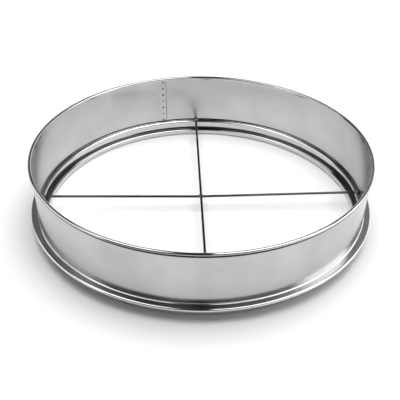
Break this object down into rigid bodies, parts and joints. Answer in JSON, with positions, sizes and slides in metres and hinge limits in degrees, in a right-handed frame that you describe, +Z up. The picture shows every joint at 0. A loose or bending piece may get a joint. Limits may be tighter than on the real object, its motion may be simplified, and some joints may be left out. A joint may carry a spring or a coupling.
{
  "type": "round sieve frame",
  "caption": "Round stainless steel sieve frame: a sheet hoop with a curled top edge on a flanged foot ring, with crossed support rods and no screen fitted.",
  "frame": {"origin": "middle of the ring, on the surface that the hem stands on", "axes": "+Z up along the hoop's axis; the straight rod runs along Y and the bent rod along X; the lap seam is at the back, on the +Y side"},
  "size_m": [0.4084, 0.4084, 0.086],
  "materials": {
    "satin_sheet": "satin stainless sheet",
    "bright_sheet": "polished stainless sheet",
    "drawn_rod": "drawn stainless rod, dull and dark",
    "weld_metal": "dull weld metal"
  },
  "bodies": {
    "root": {"hoop_wall": "satin_sheet", "seam_lap": "satin_sheet", "seat_ring": "bright_sheet", "flange_edge": "bright_sheet", "skirt": "bright_sheet", "rod_straight": "drawn_rod", "rod_bent": "drawn_rod", "rod_cross_weld": "weld_metal", "rod_end_weld_right": "weld_metal", "rod_end_weld_back": "weld_metal", "rod_end_weld_left": "weld_metal", "rod_end_weld_front": "weld_metal"}
  },
  "joints": []
}
